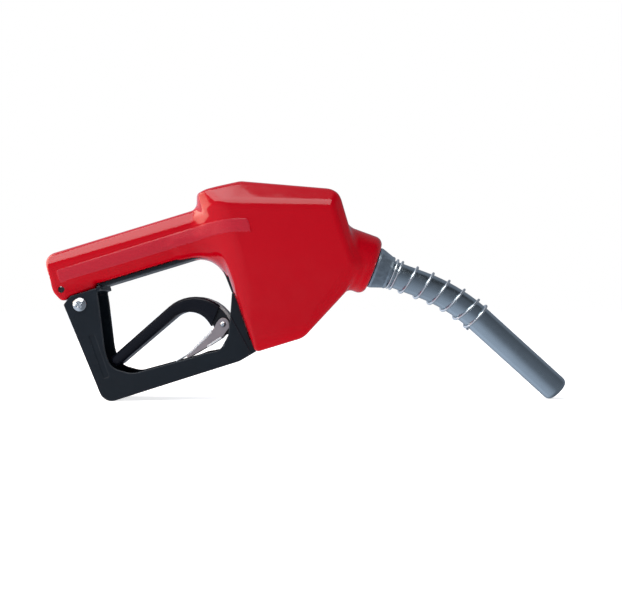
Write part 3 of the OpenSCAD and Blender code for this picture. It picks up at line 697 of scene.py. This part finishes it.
def guard_field(g):
    flange_mid = GUARD_HALF_W - GUARD_WALL / 2
    shape = outline(g, GUARD)
    walls = meet(shape, np.abs(g.side - flange_mid) - GUARD_WALL / 2, 0.8)
    web = np.maximum(shape, -outline(g, GUARD_HOLLOW))
    # The web stops short of the guard's lower front end
    web = np.maximum(web, -np.maximum(between(g.u, 124, 140), between(g.v, -110, -80)))
    web = meet(web, g.side - GUARD_HALF_W + 0.5, 0.8)
    d = np.maximum(join(walls, web, 1.2), shape)
    d = join(d, meet(outline(g, TOP_ARM), g.side - ARM_HALF_W, 0.8), 1.5)
    d = join(d, meet(outline(g, GUSSET), g.side - GUARD_HALF_W + 0.5, 0.3), 1)
    d = np.maximum(d, g.side - GUARD_HALF_W)
    # Shallow panel in the back of each wall, and a step down at the front
    d = cut(d, np.maximum(outline(g, PANEL), GUARD_HALF_W - PANEL_DEPTH - g.side), 0.2)
    front = plane(g, (114.9, 0, -66.6), (-33, 0, -6.9))
    d = cut(d, np.maximum(front, GUARD_HALF_W - FRONT_STEP - g.side), 0.2)
    d = cut(d, across(g, SCREW, SCREW_HOLE_R), 0.3)
    return cut(d, across(g, GUARD_PIN, PIN_HOLE_R), 0.2)


def make_guard():
    g = Grid((-5, 136), (-16, 16), (-106, -14), 0.55)
    mesh = carved("guard_moulding", g, guard_field(g), 0.5)
    add("guard_moulding", mesh, "root", ["hand_guard"], "guard_black")


# ---- Lever sleeve ----

SLEEVE = [(15.5, -73.2, 4.2), (18.9, -81.1, 4.2), (91.6, -49.2, 17.4), (98.6, -74, 0.5),
          (115.5, -74, 0.5), (103.5, -33.4, 30.6)]
LEVER = [(21, -73.3, 1), (22.9, -77.6, 1), (93, -46.2, 19.6), (101, -73.5, 1), (105.5, -81, 2),
         (152, -89.3, 1), (152, -78.7, 1), (130, -75, 6), (114.6, -69, 3), (102.1, -36.5, 28.4)]
SLEEVE_EDGE_R = 3.4
SLEEVE_CUT = [(97.5, -73, 0.1), (109, -59.4, 0.1), (125, -55, 0.1), (125, -85, 0.1),
              (97.5, -85, 0.1)]


def make_sleeve():
    g = Grid((13, 118), (-12, 12), (-84, -31), 0.5)
    shape = outline(g, SLEEVE)
    d = meet(shape, g.side - SLEEVE_HALF_W, SLEEVE_EDGE_R)
    # Fine groove in each side, just inside the outline
    seam = np.maximum(np.abs(shape + 2.6) - 0.35, SLEEVE_HALF_W - 0.25 - g.side)
    d = cut(d, seam, 0.1)
    core = np.maximum(outline(g, LEVER), g.side - LEVER_HALF_W - 0.05)
    d = cut(d, core, 0.1)
    d = cut(d, outline(g, SLEEVE_CUT) + 0 * g.side, 0.4)
    mesh = carved("lever_grip_sleeve", g, d, 0.6)
    add("lever_grip_sleeve", mesh, "lever", ["lever_sleeve"], "sleeve_rubber")


# ---- Hold-open latch and its rivet ----

CHEEK = [(103.2, -70.4, 1), (98, -75.2, 1), (73, -88.6, 1), (74.5, -90.2, 1), (90.7, -86.4, 2),
         (105, -82, 2), (112, -76, 1)]
ROLL_ENDS = np.array([(97.3, -75.7), (76.2, -87.0)])
LIP = [(90.5, -85.2, 0.4), (103.2, -81.6, 0.4), (103.6, -83, 0.4), (90.9, -86.6, 0.4)]
TONGUE = [(77, -85.9, 0.3), (63.6, -89.4, 0.3), (63.6, -90.6, 0.3), (76, -87.5, 0.3)]
EAR_R = 4.8
CHEEK_SIDES, LIP_SIDES = (8.3, 9.6), (8.3, 9.9)
ROLL_SIDE, ROLL_R = 8.8, 1.15
TONGUE_HALF_W = 5


def make_latch():
    """Two cheeks on the rivet, and the rolled edges and tongue between them, painted whiter as a highlight."""
    g = Grid((62, 114), (-10.2, 10.2), (-92, -67), 0.3)
    cheek = join(outline(g, CHEEK), across(g, RIVET, EAR_R), 1.5)
    d = meet(cheek, between(g.side, *CHEEK_SIDES), 0.35)
    d = cut(d, across(g, RIVET, 2.05), 0.1)
    add("latch_plate", carved("latch_plate", g, d, 0.5), "hold_open_latch",
        ["hold_open_latch"], "latch_steel")
    roll_way = ROLL_ENDS[1] - ROLL_ENDS[0]
    length = float(np.linalg.norm(roll_way))
    roll_way = roll_way / length
    ahead = (g.u - ROLL_ENDS[0, 0]) * roll_way[0] + (g.v - ROLL_ENDS[0, 1]) * roll_way[1]
    beside = (g.u - ROLL_ENDS[0, 0]) * roll_way[1] - (g.v - ROLL_ENDS[0, 1]) * roll_way[0]
    roll = meet(np.hypot(beside, np.maximum(g.side - ROLL_SIDE, 0)) - ROLL_R,
                np.maximum(-ahead, ahead - length), 0.5)
    lip = meet(outline(g, LIP), between(g.side, *LIP_SIDES), 0.3)
    tongue = meet(outline(g, TONGUE), g.side - TONGUE_HALF_W, 0.3)
    edges = join(join(roll, lip), tongue, 0.4)
    # The rolled edges, lip and tongue wear the whiter copy of the steel: a painted highlight
    add("latch_rolled_edges", carved("latch_rolled_edges", g, edges, 0.6),
        "hold_open_latch", ["hold_open_latch"], "latch_steel", "latch_edge_highlight")


def make_rivet():
    """Domed head on each side, hollow in the middle."""
    u, v = RIVET
    g = Grid((u - 4, u + 4), (-12, 12), (v - 4, v + 4), 0.25)
    off = np.hypot(g.u - u, g.v - v)
    dome = np.hypot(off, g.side - 9.0) - 2.3
    head = meet(meet(off - 2.05, 9.8 - g.side, 0.2), dome, 0.3)
    d = join(head, np.maximum(off - 1.9, g.side - 10.5), 0.1)
    d = cut(d, np.hypot(off, g.side - 11.6) - 0.7, 0.2)
    mesh = carved("latch_rivet_body", g, d)
    add("latch_rivet_body", mesh, "lever", ["latch_rivet"], "bright_wire")


# ---- Guard screw and nut ----

FASTENER_REACH = 6.5  # half the height and length of the sampled box
WASHER_R, HEAD_R, HEAD_DOME_R, SHANK_R = 5.2, 4.7, 6.0, 3
RECESS_LENGTH, RECESS_WIDTH, RECESS_DEPTH = 5.2, 1.1, 1.5
NUT_HALF_FLATS, NUT_HEIGHT = 4.85, 4.4


def make_screw():
    """Pan head with a washer face and a cross recess, on the near side."""
    u, v = SCREW
    face = -GUARD_HALF_W
    reach = FASTENER_REACH
    g = Grid((u - reach, u + reach), (face - 4, -face + 5.2), (v - reach, v + reach), 0.25)
    off = np.hypot(g.u - u, g.v - v)
    washer = meet(off - WASHER_R, between(g.y, face - 1.1, face + 0.01), 0.35)
    dome = meet(np.hypot(off, g.y - (face + 2.8)) - HEAD_DOME_R, g.y - face, 0.1)
    dome = meet(dome, off - HEAD_R, 0.3)
    d = join(washer, dome, 0.3)
    shank = meet(off - SHANK_R, between(g.y, face - 0.5, -face + 4.6), 0.4)
    d = join(d, shank, 0.2)
    for angle in (20, 110):
        c, s = math.cos(math.radians(angle)), math.sin(math.radians(angle))
        along = (g.u - u) * c + (g.v - v) * s
        beside = (g.u - u) * -s + (g.v - v) * c
        arm = meet(np.abs(along) - RECESS_LENGTH / 2, np.abs(beside) - RECESS_WIDTH / 2, 0.2)
        d = cut(d, np.maximum(arm, g.y - (face - RECESS_DEPTH)), 0.15)
    mesh = carved("guard_screw_body", g, d, 0.7)
    add("guard_screw_body", mesh, "root", ["guard_screw"], "zinc_steel")


def make_nut():
    """Hexagon nut, chamfered outside, on the far side."""
    u, v = SCREW
    face = GUARD_HALF_W
    reach = FASTENER_REACH
    g = Grid((u - reach, u + reach), (face - 0.8, face + 5.2), (v - reach, v + reach), 0.25)
    off = np.hypot(g.u - u, g.v - v)
    d = between(g.y, face, face + NUT_HEIGHT) + 0 * off
    for angle in (0, 60, 120):
        c, s = math.cos(math.radians(angle)), math.sin(math.radians(angle))
        d = meet(d, np.abs((g.u - u) * s + (g.v - v) * c) - NUT_HALF_FLATS, 0.25)
    d = meet(d, (off - 5.1 + 0.55 * (g.y - face - 3.6)) * 0.87, 0.2)
    d = cut(d, off - 3.05, 0.5)
    mesh = carved("guard_nut_body", g, d, 0.7)
    add("guard_nut_body", mesh, "root", ["guard_nut"], "zinc_steel")


# ---- Spout ----

def make_spout():
    """Bent tube with a rounded tip."""
    bore = SPOUT_R - SPOUT_WALL
    tip_r = SPOUT_TIP_R
    ahead = np.concatenate([
        [-5.9], np.linspace(0, LEAD_IN, 8), LEAD_IN + np.linspace(0.04, 1, 24) * BEND_LENGTH,
        np.linspace(LEAD_IN + BEND_LENGTH + 4, SPOUT_LENGTH - tip_r, 16)])
    outer = [(s, SPOUT_R) for s in ahead]
    end = math.acos((bore + 0.35 - SPOUT_R + tip_r) / tip_r)
    tip = [(SPOUT_LENGTH - tip_r + tip_r * math.sin(a), SPOUT_R - tip_r + tip_r * math.cos(a))
           for a in np.linspace(0, end, 9)[1:]]
    inner = [(s - 0.5, bore) for s in ahead[::-1] if s < SPOUT_LENGTH - tip_r]
    mesh = turned("spout_pipe", outer + tip + [(tip[-1][0] - 0.5, bore)] + inner)
    add("spout_pipe", mesh, "root", ["spout_tube"], "spout_aluminium")


def make_collar():
    """Stepped ring round the spout, its corners given as (length, radius, rounding)."""
    profile = rounded([
        (-12, 2.3, 0.3), (-6, 2.3, 0.3), (-6, SPOUT_R + 0.05, 0.3), (13.5, SPOUT_R + 0.05, 0.4),
        (13.5, 12.9, 0.9), (11.2, 12.9, 1.0), (2.2, 16, 1.2), (0.2, 16, 0.6), (0.2, 13.95, 0.2),
        (-12, 13.95, 0.6)])
    mesh = turned("spout_collar", profile)
    add("spout_collar", mesh, "root", ["spout_bushing"], "collar_metal")


def make_spout_spring():
    """Wire wound round the spout from the collar nearly to the end of the bend."""
    run = LEAD_IN - SPRING_START + BEND_LENGTH - 2
    coil_r = SPOUT_R + SPRING_WIRE_R + 0.15
    side = np.array([0.0, 1.0, 0.0])
    turns = [0, 1.4, SPRING_TURNS - 1.1, SPRING_TURNS]
    reached = [0, 3.9, run - 2.9, run]

    def advance(t):
        """Length along the spout after t turns: the end turns are wound close."""
        return float(np.mean([np.interp(t + s, turns, reached) for s in (-0.2, 0, 0.2)]))

    def at(t):
        """Middle of the wire, and of the spout, after t turns."""
        centre, _, down = spout_frame(SPRING_START + advance(t))
        a = -2 * math.pi * t
        return centre + coil_r * (math.cos(a) * down + math.sin(a) * side), centre

    per_turn, sides = 72, 14
    rings = []
    for i in range(SPRING_TURNS * per_turn + 1):
        t = i / per_turn
        point, centre = at(t)
        way = at(t + 0.002)[0] - at(t - 0.002)[0]
        way /= np.linalg.norm(way)
        out = (point - centre) / np.linalg.norm(point - centre)
        out = out - way * (out @ way)
        out /= np.linalg.norm(out)
        up = np.cross(way, out)
        angles = np.linspace(0, 2 * math.pi, sides, endpoint=False)
        rings.append(point + SPRING_WIRE_R * (np.cos(angles)[:, None] * out
                                              + np.sin(angles)[:, None] * up))
    mesh = skin("spout_spring_wire", rings, closed=False)
    add("spout_spring_wire", mesh, "root", ["spout_spring"], "bright_wire")


# ---- Springs inside the casting ----

def make_inner_spring(node, joint):
    """The CAD spring again, as its own piece in the spring steel finish."""
    mesh = nodes[node].data.copy()
    piece = add(node + "_coil", mesh, "root", [node], "spring_steel")
    axis = np.array(joints[joint]["axis"])
    points = np.empty(len(mesh.vertices) * 3)
    mesh.vertices.foreach_get("co", points)
    points = points.reshape(-1, 3)
    reach = points @ axis
    # The last point along the axis is on the end that stays put
    points[reach.argmax()].tolist()
    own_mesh(piece)


# ---- Camera, floor and light ----

CAMERA_AT = (0.0023, -0.540, 0.0764)
FOCAL_LENGTH = 40.07
FLOOR_TOP = -0.00005  # just below the nozzle's lowest point
# Height of a direction, from straight down at 0 to straight up at 1, and the sky's level there
SKY_LEVELS = ((0.42, 0.36), (0.60, 0.32), (0.78, 0.24), (0.86, 0.09), (0.95, 0.09), (1.0, 0.6))
SKY_TINT = (0.88, 0.96, 1.12, 1.0)


def place_camera():
    """Level and square to the nozzle's near side."""
    lens = bpy.data.cameras.new("camera")
    lens.lens = FOCAL_LENGTH
    lens.sensor_width = 36.0
    lens.clip_start = 0.01
    lens.clip_end = 20.0
    camera = bpy.data.objects.new("camera", lens)
    camera.location = CAMERA_AT
    camera.rotation_euler = (math.pi / 2, 0, 0)
    bpy.context.scene.collection.objects.link(camera)
    bpy.context.scene.camera = camera


def place_floor():
    """A pale floor that the nozzle's gloss doesn't mirror."""
    half, top = 4.0, FLOOR_TOP
    corners = [(-half, -half, top), (half, -half, top), (half, half, top), (-half, half, top)]
    floor = bpy.data.objects.new("floor", new_mesh("floor", corners, [(0, 1, 2, 3)]))
    bpy.context.scene.collection.objects.link(floor)
    floor.visible_glossy = False
    n = Nodes("floor")
    n.link(n.mix(n.noise(3.0), (0.88, 0.88, 0.88), (0.9, 0.9, 0.9)),
           n.shader.inputs["Base Color"])
    n.shader.inputs["Roughness"].default_value = 0.9
    n.shader.inputs["Specular IOR Level"].default_value = 0.0
    n.shader.inputs["Emission Color"].default_value = (1.0, 1.0, 1.0, 1.0)
    n.shader.inputs["Emission Strength"].default_value = 0.76
    floor.data.materials.append(n.material)


def place_lamp(name, at, target, size, power, colour=(1.0, 1.0, 1.0)):
    """An oblong area lamp at a point, facing a target."""
    lamp = bpy.data.lights.new(name, "AREA")
    lamp.shape = "RECTANGLE"
    lamp.size, lamp.size_y = size
    lamp.energy = power
    lamp.color = colour
    holder = bpy.data.objects.new(name, lamp)
    holder.location = at
    way = Vector(target) - Vector(at)
    holder.rotation_euler = way.to_track_quat("-Z", "Y").to_euler()
    bpy.context.scene.collection.objects.link(holder)


def place_light():
    """A studio that is bright to the left and overhead and dim behind the camera."""
    world = bpy.data.worlds.new("studio")
    world.use_nodes = True
    bpy.context.scene.world = world
    tree = world.node_tree

    def node(kind, *inputs, **settings):
        """A new node, its first inputs linked or set in order; None leaves one alone."""
        new = tree.nodes.new(kind)
        for name, value in settings.items():
            setattr(new, name, value)
        for socket, value in zip(new.inputs, inputs):
            if isinstance(value, bpy.types.NodeSocket):
                tree.links.new(value, socket)
            elif value is not None:
                socket.default_value = value
        return new

    way = node("ShaderNodeTexCoord").outputs["Generated"]
    split = node("ShaderNodeSeparateXYZ", way).outputs
    left = node("ShaderNodeMapRange", split["X"], 0.3, -0.6, 0.6, 1.9,
                interpolation_type="SMOOTHSTEP").outputs["Result"]
    behind = node("ShaderNodeMapRange", split["Y"], -0.2, 0.25, 0.0, 0.45,
                  interpolation_type="SMOOTHSTEP").outputs["Result"]
    ramp = tree.nodes.new("ShaderNodeValToRGB")
    bands = ramp.color_ramp
    while len(bands.elements) < len(SKY_LEVELS):
        bands.elements.new(0.5)
    for mark, (height, value) in zip(bands.elements, SKY_LEVELS):
        mark.position = height
        mark.color = (value, value, value, 1.0)
    high = node("ShaderNodeMapRange", split["Z"], -1.0, 1.0, 0.0, 1.0).outputs["Result"]
    tree.links.new(high, ramp.inputs["Fac"])
    level = node("ShaderNodeMath", ramp.outputs["Color"], behind,
                 operation="MAXIMUM").outputs["Value"]
    studio = node("ShaderNodeMath", level, left, operation="MULTIPLY").outputs["Value"]
    # The camera sees plain white; only reflections and light come from the sky
    seen = node("ShaderNodeLightPath").outputs["Is Camera Ray"]
    strength = node("ShaderNodeMix", seen, None, studio, 1.0).outputs["Result"]
    tint = node("ShaderNodeMix", data_type="RGBA")
    tint.inputs[6].default_value = SKY_TINT
    tint.inputs[7].default_value = (1.0, 1.0, 1.0, 1.0)
    tree.links.new(seen, tint.inputs["Factor"])
    tree.links.new(strength, tree.nodes["Background"].inputs["Strength"])
    tree.links.new(tint.outputs[2], tree.nodes["Background"].inputs["Color"])
    place_lamp("overhead", (-0.25, -0.32, 0.9), (-0.05, 0, 0.1), (1.1, 0.45), 7.5)
    place_lamp("left", (-0.9, 0.1, 0.4), (-0.05, 0, 0.1), (0.6, 0.9), 9.0, (1.0, 0.78, 0.6))
    bpy.context.scene.view_settings.view_transform = "Standard"


place_camera()
place_floor()
place_light()
make_cover()
make_guard()
make_sleeve()
make_latch()
make_rivet()
make_screw()
make_nut()
make_spout()
make_collar()
make_spout_spring()
for spring, its_joint in (("poppet_spring", "valve_lift"), ("plunger_spring", "plunger_drop"),
                          ("diaphragm_spring", "diaphragm_lift"), ("check_spring", "check_open")):
    make_inner_spring(spring, its_joint)
